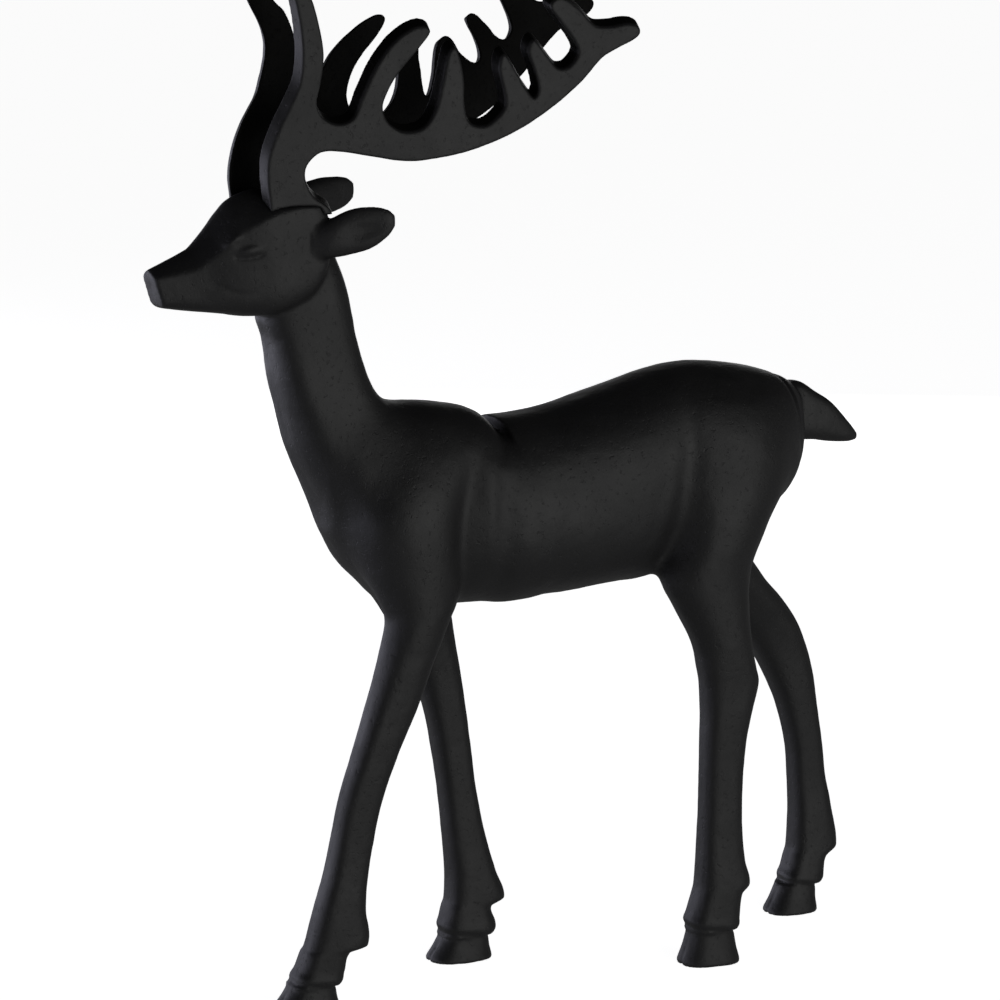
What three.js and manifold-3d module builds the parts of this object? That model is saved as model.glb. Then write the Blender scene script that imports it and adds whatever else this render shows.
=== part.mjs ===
// Cast iron stag, standing, painted black. Millimetres, +Z up, +X to the stag's left, nose towards -Y.
// Three castings: the body with head and legs in one, and two flat antler plates seated on the crown.
import * as THREE from 'three';
import { mergeVertices } from 'three/addons/utils/BufferGeometryUtils.js';
import Module from 'manifold-3d';

const wasm = await Module();
wasm.setup();

const SEAT_GAP = 0.3;          // clearance between each antler foot and the crown
const PLATE = 8;            // thickness of the antler plates
const PLATE_EDGE = 1.2;        // rounding along the plate edges
const SOLE = 2.3;              // height of the soles in the layout below
const CENTRE = [3.0, -12.9];   // brings the middle of the whole statue onto the origin

// Every mass is a run of upright oval sections set along one axis.
// A section is [distance along the axis, centre, centre, half size, half size, squareness].
// Along y the two directions are x and z; along z they are x and y.
const HEAD = [
  [-169.2, 0, 328.4, 7.4, 5.8, 5.0],
  [-167.2, 0, 327.2, 8.0, 7.2, 5.0],
  [-160, 0, 328.3, 9.6, 9.8, 4.6],
  [-146, 0, 331.1, 13, 14.4, 4.8],
  [-138, 0, 335.5, 16, 19.8, 4.6],
  [-128, 0, 338.6, 19, 24.5, 4.4],
  [-114, 0, 340, 21.3, 25.4, 4.4],
  [-104, 0, 341.4, 21.3, 23.6, 4.2],
  [-97, 0, 342.7, 21, 20.4, 4.0],
  [-93, 0, 344, 20.4, 16, 3.4],
  [-91, 0, 345, 19.4, 11.5, 3.2],
  [-90.3, 0, 345.5, 18, 8, 3.0],
];
const NECK = [
  [176, 0, -46, 12, 6, 2.2],
  [182, 0, -47, 25, 12.5, 2.2],
  [193, 0, -48, 31, 17.5, 2.3],
  [210, 0, -53.2, 33, 23.2, 2.4],
  [229, 0, -60.6, 32, 28.6, 2.5],
  [241, 0, -67, 29, 30, 2.6],
  [251, 0, -73.5, 25.5, 28.2, 2.7],
  [266, 0, -82, 21.5, 23.8, 3.2],
  [284, 0, -89.3, 18.5, 21, 3.5],
  [302, 0, -93.6, 16.6, 19.8, 3.5],
  [312, 0, -96, 16, 20.6, 3.4],
  [326, 0, -97, 15.2, 18.6, 3.2],
  [340, 0, -98, 14, 15, 2.4],
];
const WITHERS = [
  [-86, 0, 232, 14, 20, 2.3],
  [-77, 0, 230, 25, 32, 2.3],
  [-60, 0, 227.6, 33, 42, 2.3],
  [-45, 0, 225.3, 36.5, 45.3, 2.3],
  [-30, 0, 223.3, 37.5, 45.7, 2.3],
  [-15, 0, 221.2, 37.5, 43.8, 2.3],
  [-4, 0, 216, 37.4, 37.2, 2.3],
  [6, 0, 213, 35, 32, 2.3],
];
const BACK = [
  [-4.5, 0, 219.7, 37.5, 41.4, 2.3],
  [10, 0, 219.9, 38.5, 41.9, 2.3],
  [25, 0, 221.1, 39, 42.8, 2.3],
  [54, 0, 226.2, 39.5, 45.1, 2.3],
  [76, 0, 229.8, 39.5, 47.6, 2.3],
  [90, 0, 235, 39.5, 44.6, 2.3],
  [102, 0, 237.8, 39, 42, 2.3],
  [122.6, 0, 241, 36, 36.1, 2.3],
  [137.5, 0, 243.6, 29, 29.3, 2.3],
  [145.8, 0, 246, 20, 22.6, 2.3],
  [151, 0, 249, 11, 14, 2.3],
];
const TAIL = [
  [140, 0, 255, 7, 12, 3.4],
  [152, 0, 253.8, 7.6, 13.8, 3.4],
  [160, 0, 251.2, 7.6, 11.7, 3.4],
  [169, 0, 247.6, 7, 9.5, 3.4],
  [178.5, 0, 242.3, 5.6, 4.9, 3.0],
  [183.4, 0, 239.8, 3.2, 1.8, 2.6],
];
const LEFT_EAR = [
  [-100, 18, 346.5, 4, 6, 2.2],
  [-94, 21, 347.5, 5, 8, 2.2],
  [-84, 25, 350.8, 4.2, 9.8, 2.2],
  [-75, 29, 353, 3.2, 9, 2.2],
  [-69, 31.5, 354.8, 2.4, 6, 2.2],
  [-65.8, 32.5, 355.8, 1, 2.6, 2.2],
];
const RIGHT_EAR = [
  [-97, -17, 354, 4, 8, 2.2],
  [-88, -20, 358.6, 5, 9.2, 2.2],
  [-78, -24, 361.2, 4.4, 8.6, 2.2],
  [-69, -27.5, 362, 3.4, 7.8, 2.2],
  [-62.5, -29.5, 362.6, 2.4, 6.2, 2.2],
  [-58.8, -30, 363, 1, 3.4, 2.2],
];
const LEFT_FORE = [
  [13.5, 25, -104.3, 10.3, 11.6, 3.2],
  [20, 25, -101.2, 10, 10.7, 3.2],
  [28.4, 25.3, -98, 9.8, 10.6, 3.2],
  [30.4, 25.5, -93.2, 9.8, 14.2, 3.2],
  [47, 25.7, -91.3, 9.2, 11.3, 3.2],
  [62, 26, -88.5, 8.6, 9.6, 3.2],
  [77.5, 26.5, -85.5, 8.2, 9.3, 3.2],
  [95, 27, -81.8, 8.3, 9.4, 3.2],
  [114, 27.5, -75.5, 8.7, 9.9, 3.1],
  [138.5, 28, -66.2, 9.8, 11.4, 2.9],
  [159, 28, -59.2, 11.5, 12.6, 2.4],
  [177, 27.5, -53.2, 13.8, 15, 2.1],
  [185, 26.5, -52.8, 15.2, 18.2, 2.1],
  [200, 24.5, -55, 18, 21.7, 2.1],
  [220, 22, -56, 21, 24, 2.1],
  [235, 19, -52, 20, 22, 2.1],
  [248, 14, -46, 16, 17, 2.1],
  [257, 10, -42, 8, 9, 2.1],
];
const RIGHT_FORE = [
  [13.5, -26, -6, 10.4, 12.3, 3.2],
  [19, -26, -5.2, 10.3, 12.8, 3.2],
  [27, -26.2, -5.2, 10, 11, 3.2],
  [30.4, -26.3, -1.3, 10, 13.8, 3.2],
  [44, -26.5, -3.2, 9.5, 11.3, 3.2],
  [62, -26.8, -6.5, 8.6, 9.5, 3.2],
  [81, -27, -9.5, 8.3, 8.5, 3.2],
  [100, -27, -12.2, 8.4, 8.6, 3.2],
  [118, -27, -15.2, 8.8, 9.1, 3.1],
  [138, -27.5, -19.6, 10.3, 10.6, 2.9],
  [153, -27.5, -23.8, 12, 12.4, 2.4],
  [170, -27, -30.5, 14, 16, 2.3],
  [185, -26, -38, 16, 19.5, 2.1],
  [200, -24.5, -45, 18, 21.2, 2.1],
  [220, -22, -50, 21, 22.6, 2.1],
  [235, -19, -49, 20, 20, 2.1],
  [248, -14, -46, 16, 16, 2.1],
  [257, -10, -42, 8, 9, 2.1],
];
const LEFT_HIND = [
  [17.8, 29, 94.6, 10.1, 11.6, 3.2],
  [23, 29, 94.9, 10.1, 12.1, 3.2],
  [34.6, 29, 97.4, 9.9, 11.1, 3.2],
  [39, 29, 99.9, 9.8, 12.6, 3.2],
  [50, 29, 99, 9.2, 11, 3.2],
  [69, 29, 98.6, 8.5, 9.8, 3.2],
  [88, 29, 99, 8.5, 9.6, 3.2],
  [106, 29, 99.9, 8.8, 10.2, 3.2],
  [120, 29, 101.3, 9.4, 11.5, 3.1],
  [134, 29, 102.7, 10.2, 13.6, 2.9],
  [141, 29, 101.4, 10.8, 13.4, 2.9],
  [153, 29, 98.8, 12, 13.9, 2.4],
  [172, 28, 93.4, 14.3, 18.2, 2.3],
  [188, 26, 90.6, 17.2, 23.6, 2.1],
  [205, 24, 96.3, 20.5, 25.4, 2.1],
  [225, 22.5, 102.6, 22, 28, 2.1],
  [245, 21, 104.5, 21, 28, 2.1],
  [262, 17, 105, 16, 24, 2.1],
  [271, 12, 103, 8, 13, 2.1],
];
const RIGHT_HIND = [
  [15.5, -37.6, 176.4, 9.6, 9.8, 3.2],
  [20, -38, 178.3, 9.6, 9.9, 3.2],
  [28.5, -38.7, 180.6, 9.5, 9.4, 3.2],
  [33.5, -39, 184.3, 9.5, 11.6, 3.2],
  [55, -39.5, 183.2, 8.8, 9.6, 3.2],
  [69, -40, 181.6, 8.2, 8.5, 3.2],
  [85, -40, 179.9, 8.2, 8.3, 3.2],
  [104, -40, 175.9, 8.8, 9.3, 3.1],
  [115.5, -40, 172.5, 9.4, 10.9, 3.1],
  [129.4, -40, 167, 10.5, 13.1, 2.9],
  [142, -39, 159.4, 11.5, 15.4, 2.9],
  [155, -37, 148, 13, 18.3, 2.4],
  [170, -33.5, 131, 15.5, 20.8, 2.3],
  [188, -29, 115.5, 18, 24, 2.1],
  [205, -25, 110, 20.5, 28, 2.1],
  [225, -22.5, 108, 22, 30.5, 2.1],
  [245, -21, 107, 21, 30, 2.1],
  [262, -17, 105, 16, 24, 2.1],
  [271, -12, 103, 8, 13, 2.1],
];
// Hooves flare from a narrow coronet to a flat sole:
// [top height, coronet x, y, half x, half y, sole x, y, half x, half y].
const HOOVES = [
  [14.2, 25, -104.8, 9.4, 10.2, 24.7, -107.6, 11.9, 15.4],
  [14.4, -26, -6.6, 9.4, 10.9, -25.9, -9.4, 11.9, 15.6],
  [18.6, 29, 94, 9.1, 10.4, 28.9, 93.2, 11.8, 14.6],
  [16.2, -37.5, 175.2, 8.7, 9.1, -36.7, 171.8, 11, 13],
];

// Antler outlines, each in its own plane: first number back from the foot, second up from the crown.
// They run up the front of the beam and back through the bays and tines; the two were cast from
// different patterns.
const LEFT_OUTLINE = [
  [-2, -9], [-3.5, 1], [-5, 14], [-4.5, 24], [-0.5, 35], [5, 46], [9.5, 56], [10.8, 67],
  [9.8, 80], [7, 93], [3, 104], [-1, 112],
  // back of the beam
  [2, 112.5], [9, 103], [15, 92], [18.5, 80], [20.5, 67], [19, 55], [17.5, 47],
  [20.5, 40.5], [28, 37.5], [34.5, 40],  // first bay
  [38.8, 49.5], [44.8, 61.5], [51.8, 71], [59, 76.8], [66, 79.3], [70, 77],  // long tine
  [63, 68], [55, 59], [50, 51], [48, 44], [51, 37.2],  // its rear edge
  // second bay and second tine
  [58.5, 33], [67.5, 34.5], [73, 42], [76, 53], [79.2, 67.5], [82.3, 69], [85.7, 57], [86.5, 44],
  [89, 36.2], [96.3, 34.3], [102.5, 38], [106.3, 43.5], [105.3, 50.5], [103, 60], [105, 66],
  [110, 59.5],
  // narrow bay and fourth tine
  [114.8, 51.5], [119.6, 46], [121.9, 50], [120, 58], [116.8, 67], [119.3, 71.8],
  [126, 64], [131, 58.8], [136.5, 59.5], [140.8, 65.5], [138.2, 72], [131.8, 80], [127, 87],
  [131.8, 90.3],
  // last fork and end tip
  [140.3, 85.3], [148.3, 77.6], [156.5, 76.8], [164.5, 77.8], [169.5, 76.4], [170, 73.6], [167, 71],
  // underside of the palm
  [160, 67.8], [152, 63.5], [142, 53], [128.5, 42.3], [113, 33], [97, 26.5], [79, 22], [60, 20.6],
  // throat and heel
  [43, 23.2], [29, 25.8], [19.5, 25.8], [13, 20.5], [12.2, 14], [16, 6.5], [24, 0], [24, -9],
];
const RIGHT_OUTLINE = [
  [-7, -9], [-7.6, 0], [-8.3, 6], [-9, 11.2], [-8.9, 17.5], [-7.6, 24], [-5.7, 30.3], [-2.4, 37.8],
  [1, 43.5], [4.7, 49.7], [6.5, 55.5], [8.4, 63.1], [9.1, 69.5], [8.4, 74.7], [6.2, 80.5], [2.8, 86.4],
  [0.5, 91], [-3, 99], [-7, 108.6],
  // back of the beam
  [-3.5, 109], [4, 101], [12.5, 90.6], [18.2, 85], [22, 77], [24.5, 67], [24, 57], [22.8, 49],
  [25.3, 43.4], [30.5, 41.6],  // first bay
  // long tine
  [35.3, 45.2], [36.5, 55], [39.2, 60.1], [43.1, 66.1], [48.5, 71.6], [55.1, 76.5], [61.2, 80], [66, 81.8],
  [69, 81.6], [70, 79.8],
  [67.9, 76], [63.6, 71], [58.8, 66], [54.6, 60.4], [51.6, 54.3], [50.1, 48.7], [50.6, 43.6],
  // second bay and second tine
  [54, 38.6], [60, 36], [66.5, 36.4], [70.9, 38.8], [74.8, 42.9], [76.9, 47.5], [77.8, 52.2],
  [78, 58], [79, 65], [81.5, 70.6], [85, 71.2], [87.5, 67.4], [87.7, 61.7], [88.9, 55.8],
  // third bay and tine
  [89.8, 50.1], [91.4, 45.2], [93.9, 44.8], [96.3, 51.9], [97.2, 57.6], [97.8, 64], [99.4, 69],
  [102.6, 71], [106.1, 68.6], [109.6, 63.5],
  // narrow bay and fourth tine
  [114.4, 59.8], [118.3, 58.4], [121, 59.6], [121, 63.4], [119, 68.4], [115.8, 73.8], [114, 78],
  [115.6, 80.6], [118.4, 80], [121.5, 77.5],
  // last bay
  [125.3, 74.1], [128.4, 70.7], [132.6, 68.3], [136.4, 69.4], [138.2, 72.6], [137.5, 76.5],
  [134.7, 82.4], [132, 87.5], [130.4, 93], [130.8, 98], [134, 99.6], [138.6, 95.8],
  // last fork and end tip
  [144, 89.8], [149, 85.9], [155, 84.4], [162.6, 85.4], [173, 86], [180, 85.4], [182.4, 83.2],
  // underside of the palm
  [180.4, 79.9], [175.5, 77.1], [168, 74.2], [161.9, 70.6], [153.2, 62.4], [144.1, 53.1], [136, 45.6],
  [128, 39], [119.4, 33.9], [108, 29.2], [95, 25.6], [82, 23], [68, 21.4], [56, 21.2], [44, 23.2],
  [32, 25.8], [22, 25.6], [15.5, 20.5], [14, 14], [17, 6.5], [22, 0], [22, -9],
];
// Where each antler foot stands, how far it is turned out and leaned out, in degrees, and how far
// inside its outline the flat faces end.
const ANTLERS = [
  {
    name: 'left_antler', outline: LEFT_OUTLINE, side: 1,
    foot: [15.5, -115, 360], turn: 3, lean: 2, inset: 0.4,
  },
  {
    name: 'right_antler', outline: RIGHT_OUTLINE, side: -1,
    foot: [-13.8, -118.2, 360], turn: 8, lean: -1, inset: PLATE_EDGE,
  },
];
const FOOT_HEIGHT = 358.5;     // nothing of an antler hangs below this, beside the crown
const TRIM_BLOCK = 400;        // width of the block that cuts the antler feet off at that height

// Smooth curve through the sections: each column is carried by a cubic between neighbours.
function between(rows, t) {
  let i = 0;
  while (i < rows.length - 2 && t > rows[i + 1][0]) i += 1;
  const [a, b] = [rows[i], rows[i + 1]];
  const before = rows[Math.max(i - 1, 0)];
  const after = rows[Math.min(i + 2, rows.length - 1)];
  const span = b[0] - a[0];
  const s = (t - a[0]) / span;
  return a.map((value, k) => {
    const slopeA = (b[k] - before[k]) / (b[0] - before[0]) * span;
    const slopeB = (after[k] - a[k]) / (after[0] - a[0]) * span;
    return (2 * s ** 3 - 3 * s ** 2 + 1) * value + (s ** 3 - 2 * s ** 2 + s) * slopeA
      + (3 * s ** 2 - 2 * s ** 3) * b[k] + (s ** 3 - s ** 2) * slopeB;
  });
}

// Point on an oval section; squareness 2 is an ellipse and larger is squarer.
function ovalPoint(half1, half2, squareness, angle) {
  const c = Math.cos(angle);
  const s = Math.sin(angle);
  return [
    half1 * Math.sign(c) * Math.abs(c) ** (2 / squareness),
    half2 * Math.sign(s) * Math.abs(s) ** (2 / squareness),
  ];
}

function solidFrom(positions, faces) {
  return new wasm.Manifold(new wasm.Mesh({
    numProp: 3,
    vertProperties: new Float32Array(positions),
    triVerts: new Uint32Array(faces),
  }));
}

function weldedSolid(geometry) {
  geometry.deleteAttribute('normal');
  geometry.deleteAttribute('uv');
  const welded = mergeVertices(geometry, 1e-4);
  return solidFrom(welded.attributes.position.array, welded.index.array);
}

function signedVolume(positions, faces) {
  let total = 0;
  const at = (i) => new THREE.Vector3(positions[3 * i], positions[3 * i + 1], positions[3 * i + 2]);
  for (let f = 0; f < faces.length; f += 3) {
    total += at(faces[f]).dot(at(faces[f + 1]).cross(at(faces[f + 2])));
  }
  return total;
}

// A closed mass through the sections: `axis` is the running direction, `cuts` rings per gap,
// `around` points per ring.
function mass(axis, rows, cuts, around, grow = 0) {
  const rings = [];
  for (let i = 0; i < rows.length - 1; i += 1) {
    const steps = Math.max(1, Math.min(cuts, Math.round((rows[i + 1][0] - rows[i][0]) / 6)));
    for (let k = 0; k < steps; k += 1) {
      rings.push(between(rows, rows[i][0] + (rows[i + 1][0] - rows[i][0]) * k / steps));
    }
  }
  rings.push(rows[rows.length - 1]);
  const positions = [];
  const place = (t, p, q) => {
    if (axis === 'y') positions.push(p, t, q);
    if (axis === 'z') positions.push(p, q, t);
  };
  for (const [t, c1, c2, h1, h2, n] of rings) {
    for (let j = 0; j < around; j += 1) {
      const [p, q] = ovalPoint(h1 + grow, h2 + grow, n, (j + 0.5) / around * 2 * Math.PI);
      place(t, c1 + p, c2 + q);
    }
  }
  const first = rings[0];
  const last = rings[rings.length - 1];
  place(first[0], first[1], first[2]);
  place(last[0], last[1], last[2]);
  const faces = [];
  for (let i = 0; i < rings.length - 1; i += 1) {
    for (let j = 0; j < around; j += 1) {
      const a = i * around + j;
      const b = i * around + (j + 1) % around;
      faces.push(a, b, b + around, a, b + around, a + around);
    }
  }
  const tip = rings.length * around;
  for (let j = 0; j < around; j += 1) {
    const next = (j + 1) % around;
    faces.push(tip, next, j);
    faces.push(tip + 1, tip - around + j, tip - around + next);
  }
  if (signedVolume(positions, faces) < 0) {
    for (let f = 0; f < faces.length; f += 3) {
      [faces[f + 1], faces[f + 2]] = [faces[f + 2], faces[f + 1]];
    }
  }
  return solidFrom(positions, faces);
}

function hoof([top, x1, y1, hx1, hy1, x0, y0, hx0, hy0]) {
  const at = (f, swell) => [
    SOLE + (top - SOLE) * f, x0 + (x1 - x0) * f, y0 + (y1 - y0) * f,
    hx0 + (hx1 - hx0) * f + swell, hy0 + (hy1 - hy0) * f + swell, 2.7,
  ];
  return mass('z', [at(0, -0.5), at(0.1, 0), at(0.5, -0.3), at(1, 0)], 2, 16);
}

function plateSolid(antler) {
  const edge = antler.outline.map(([u, v]) => new THREE.Vector2(u, v));
  const plate = new THREE.ExtrudeGeometry(new THREE.Shape(edge), {
    depth: PLATE - 2 * PLATE_EDGE,
    steps: 1,
    bevelEnabled: true,
    bevelThickness: PLATE_EDGE,
    bevelSize: PLATE_EDGE,
    bevelOffset: -antler.inset,
    bevelSegments: 1,
  });
  plate.translate(0, 0, PLATE_EDGE - PLATE / 2);
  const turn = THREE.MathUtils.degToRad(antler.turn);
  const lean = THREE.MathUtils.degToRad(antler.lean);
  const backward = new THREE.Vector3(antler.side * Math.sin(turn), Math.cos(turn), 0);
  const upward = new THREE.Vector3(antler.side * Math.sin(lean), 0, Math.cos(lean));
  upward.addScaledVector(backward, -upward.dot(backward)).normalize();
  const outward = new THREE.Vector3().crossVectors(backward, upward);
  const stand = new THREE.Matrix4().makeBasis(backward, upward, outward).setPosition(...antler.foot);
  plate.applyMatrix4(stand);
  return weldedSolid(plate);
}

function named(name, solid, colour) {
  const mesh = solid.getMesh();
  const geometry = new THREE.BufferGeometry();
  geometry.setAttribute('position', new THREE.Float32BufferAttribute(mesh.vertProperties, 3));
  geometry.setIndex(new THREE.Uint32BufferAttribute(mesh.triVerts, 1));
  geometry.translate(CENTRE[0], CENTRE[1], -SOLE);
  const flat = geometry.toNonIndexed();
  flat.computeVertexNormals();
  const paint = new THREE.MeshStandardMaterial({ color: colour, roughness: 0.5, metalness: 0.0 });
  const item = new THREE.Mesh(flat, paint);
  item.name = name;
  return item;
}

const head = mass('y', HEAD, 2, 24);
const body = [
  mass('z', NECK, 2, 20),
  mass('y', WITHERS, 2, 24),
  mass('y', BACK, 2, 24),
  mass('y', TAIL, 2, 14),
  mass('y', LEFT_EAR, 2, 12),
  mass('y', RIGHT_EAR, 2, 12),
  ...[LEFT_FORE, RIGHT_FORE, LEFT_HIND, RIGHT_HIND].map((rows) => mass('z', rows, 2, 14)),
  ...HOOVES.map(hoof),
].reduce((whole, piece) => whole.add(piece), head);

// The crown and ears, grown by the seat gap, trim the antler feet so they sit on the head without touching.
const floorBlock = new THREE.BoxGeometry(TRIM_BLOCK, TRIM_BLOCK, FOOT_HEIGHT);
floorBlock.translate(0, 0, FOOT_HEIGHT / 2);
const seat = mass('y', HEAD, 2, 24, SEAT_GAP)
  .add(weldedSolid(floorBlock))
  .add(mass('y', LEFT_EAR, 2, 12, SEAT_GAP))
  .add(mass('y', RIGHT_EAR, 2, 12, SEAT_GAP))
  .add(mass('z', NECK, 2, 20, SEAT_GAP));

const stag = new THREE.Group();
stag.add(named('stag_body', body, '#1f1f20'));
for (const antler of ANTLERS) {
  stag.add(named(antler.name, plateSolid(antler).subtract(seat), '#1f1f20'));
}

export default stag;
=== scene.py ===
"""Cast iron stag statue, standing, painted satin black: the finished surface around the CAD frame.

The carving is worked out like clay: every limb is a run of oval sections, the limbs are blended
into one skin, creases and features are pressed into it, and the skin is then turned into a mesh.
The layout below is in millimetres, +Z up, +X to the stag's left, nose towards -Y, the stag's own
middle plane at x = 0. It is moved onto the frame at the end.
"""
import math

import bpy
import numpy as np
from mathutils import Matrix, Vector


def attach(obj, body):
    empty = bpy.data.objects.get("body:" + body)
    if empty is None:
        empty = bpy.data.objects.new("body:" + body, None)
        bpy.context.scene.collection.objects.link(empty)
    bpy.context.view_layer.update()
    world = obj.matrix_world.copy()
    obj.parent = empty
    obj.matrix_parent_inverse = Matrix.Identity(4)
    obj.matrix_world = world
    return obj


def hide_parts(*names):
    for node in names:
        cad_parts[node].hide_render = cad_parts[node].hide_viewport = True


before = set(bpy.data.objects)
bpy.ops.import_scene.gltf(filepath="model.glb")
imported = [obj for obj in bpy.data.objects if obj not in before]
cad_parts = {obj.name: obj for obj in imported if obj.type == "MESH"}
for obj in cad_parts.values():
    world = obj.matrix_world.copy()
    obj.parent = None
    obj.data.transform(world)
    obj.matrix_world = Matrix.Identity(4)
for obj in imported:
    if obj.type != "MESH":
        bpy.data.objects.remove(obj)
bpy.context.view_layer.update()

MM = 0.001

BODY_BLOCK = (-56, -176, -3), (52, 202, 377)    # corners of the clay that the body is worked in
SKIN_PITCH = 0.9        # grid spacing of the body's clay
PLATE_PITCH = 0.7       # grid spacing of the antler plates
SOLE = 2.3              # height of the soles in the layout
MIDDLE = (3.0, -12.9)   # brings the middle of the whole statue onto the origin
SHIFT = np.array([MIDDLE[0], MIDDLE[1], -SOLE])
PLATE = 8.0             # thickness of the antler plates
PLATE_EDGE = 0.8        # rounding along the plate edges
SEAT_GAP = 0.3          # clearance between each antler foot and the crown
CROWN = 358.5           # no part of an antler is lower
FAR = 60.0              # a distance that means well outside
MOST_TRIANGLES = 190000

# How softly each part flows into the ones joined before it.
BLEND = {"withers": 1.0, "neck": 12, "fore leg": 8, "hind leg": 7, "tail": 0.8, "head": 2.2,
         "ear": 2.5, "hoof": 0.8}
# The back meets the withers crisply along the spine and softly down the sides.
SPINE_BLEND, SIDE_BLEND = 2.5, 10.5
SIDE_TOP, SPINE_LOW = 244, 258

# Where the flesh is rubbed smooth: two corners of a block, how far, and then the [y, z, radius],
# seen from the side, of the step behind the withers, which stays crisp.
RUBBED = [
    [(-50, -100, 166), (50, 8, 292), 5.5, (-5, 263, 14)],
    [(-50, -40, 166), (50, 150, 292), 4.5, (-7, 263, 20)],
]

# Sections: [distance along the axis, centre, centre, half size, half size, squareness].
# Along y the two directions are x and z; along z they are x and y.
HEAD = [
    [-169.2, 0, 328.4, 7.4, 5.8, 5.0],
    [-167.2, 0, 327.2, 8.0, 7.2, 5.0],
    [-160, 0, 328.3, 9.6, 9.8, 4.6],
    [-146, 0, 331.1, 13, 14.4, 4.8],
    [-138, 0, 335.5, 16, 19.8, 4.6],
    [-128, 0, 338.6, 19, 24.5, 4.4],
    [-114, 0, 340, 21.3, 25.4, 4.4],
    [-104, 0, 341.4, 21.3, 23.6, 4.2],
    [-97, 0, 342.7, 21, 20.4, 4.0],
    [-93, 0, 344, 20.4, 16, 3.4],
    [-91, 0, 345, 19.4, 11.5, 3.2],
    [-90.3, 0, 345.5, 18, 8, 3.0],
]

NECK = [
    [176, 0, -46, 12, 6, 2.2],
    [182, 0, -47, 25, 12.5, 2.2],
    [193, 0, -48, 31, 17.5, 2.3],
    [210, 0, -53.2, 33, 23.2, 2.4],
    [229, 0, -60.6, 32, 28.6, 2.5],
    [241, 0, -67, 29, 30, 2.6],
    [251, 0, -73.5, 25.5, 28.2, 2.7],
    [266, 0, -82, 21.5, 23.8, 3.2],
    [284, 0, -89.3, 18.5, 21, 3.5],
    [302, 0, -93.6, 16.6, 19.8, 3.5],
    [312, 0, -96, 16, 20.6, 3.4],
    [326, 0, -97, 15.2, 18.6, 3.2],
    [340, 0, -98, 14, 15, 2.4],
]

WITHERS = [
    [-86, 0, 232, 14, 20, 2.3],
    [-77, 0, 230, 25, 32, 2.3],
    [-60, 0, 227.6, 33, 42, 2.3],
    [-45, 0, 225.3, 36.5, 45.3, 2.3],
    [-30, 0, 223.3, 37.5, 45.7, 2.3],
    [-15, 0, 221.2, 37.5, 43.8, 2.3],
    [-4, 0, 216, 37.4, 37.2, 2.3],
    [6, 0, 213, 35, 32, 2.3],
]

BACK = [
    [-4.5, 0, 219.7, 37.5, 41.4, 2.3],
    [10, 0, 219.9, 38.5, 41.9, 2.3],
    [25, 0, 221.1, 39, 42.8, 2.3],
    [54, 0, 226.2, 39.5, 45.1, 2.3],
    [76, 0, 229.8, 39.5, 47.6, 2.3],
    [90, 0, 235, 39.5, 44.6, 2.3],
    [102, 0, 237.8, 39, 42, 2.3],
    [122.6, 0, 241, 36, 36.1, 2.3],
    [137.5, 0, 243.6, 29, 29.3, 2.3],
    [145.8, 0, 246, 20, 22.6, 2.3],
    [151, 0, 249, 11, 14, 2.3],
]

TAIL = [
    [140, 0, 255, 7, 12, 3.4],
    [152, 0, 253.8, 7.6, 13.8, 3.4],
    [160, 0, 251.2, 7.6, 11.7, 3.4],
    [169, 0, 247.6, 7, 9.5, 3.4],
    [178.5, 0, 242.3, 5.6, 4.9, 3.0],
    [183.4, 0, 239.8, 3.2, 1.8, 2.6],
]

LEFT_EAR = [
    [-100, 18, 346.5, 4, 6, 2.2],
    [-94, 21, 347.5, 5, 8, 2.2],
    [-84, 25, 350.8, 4.2, 9.8, 2.2],
    [-75, 29, 353, 3.2, 9, 2.2],
    [-69, 31.5, 354.8, 2.4, 6, 2.2],
    [-65.8, 32.5, 355.8, 1, 2.6, 2.2],
]

RIGHT_EAR = [
    [-97, -17, 354, 4, 8, 2.2],
    [-88, -20, 358.6, 5, 9.2, 2.2],
    [-78, -24, 361.2, 4.4, 8.6, 2.2],
    [-69, -27.5, 362, 3.4, 7.8, 2.2],
    [-62.5, -29.5, 362.6, 2.4, 6.2, 2.2],
    [-58.8, -30, 363, 1, 3.4, 2.2],
]

LEFT_FORE = [
    [13.5, 25, -104.3, 10.3, 11.6, 3.2],
    [20, 25, -101.2, 10, 10.7, 3.2],
    [28.4, 25.3, -98, 9.8, 10.6, 3.2],
    [30.4, 25.5, -93.2, 9.8, 14.2, 3.2],
    [47, 25.7, -91.3, 9.2, 11.3, 3.2],
    [62, 26, -88.5, 8.6, 9.6, 3.2],
    [77.5, 26.5, -85.5, 8.2, 9.3, 3.2],
    [95, 27, -81.8, 8.3, 9.4, 3.2],
    [114, 27.5, -75.5, 8.7, 9.9, 3.1],
    [138.5, 28, -66.2, 9.8, 11.4, 2.9],
    [159, 28, -59.2, 11.5, 12.6, 2.4],
    [177, 27.5, -53.2, 13.8, 15, 2.1],
    [185, 26.5, -52.8, 15.2, 18.2, 2.1],
    [200, 24.5, -55, 18, 21.7, 2.1],
    [220, 22, -56, 21, 24, 2.1],
    [235, 19, -52, 20, 22, 2.1],
    [248, 14, -46, 16, 17, 2.1],
    [257, 10, -42, 8, 9, 2.1],
]

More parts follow.
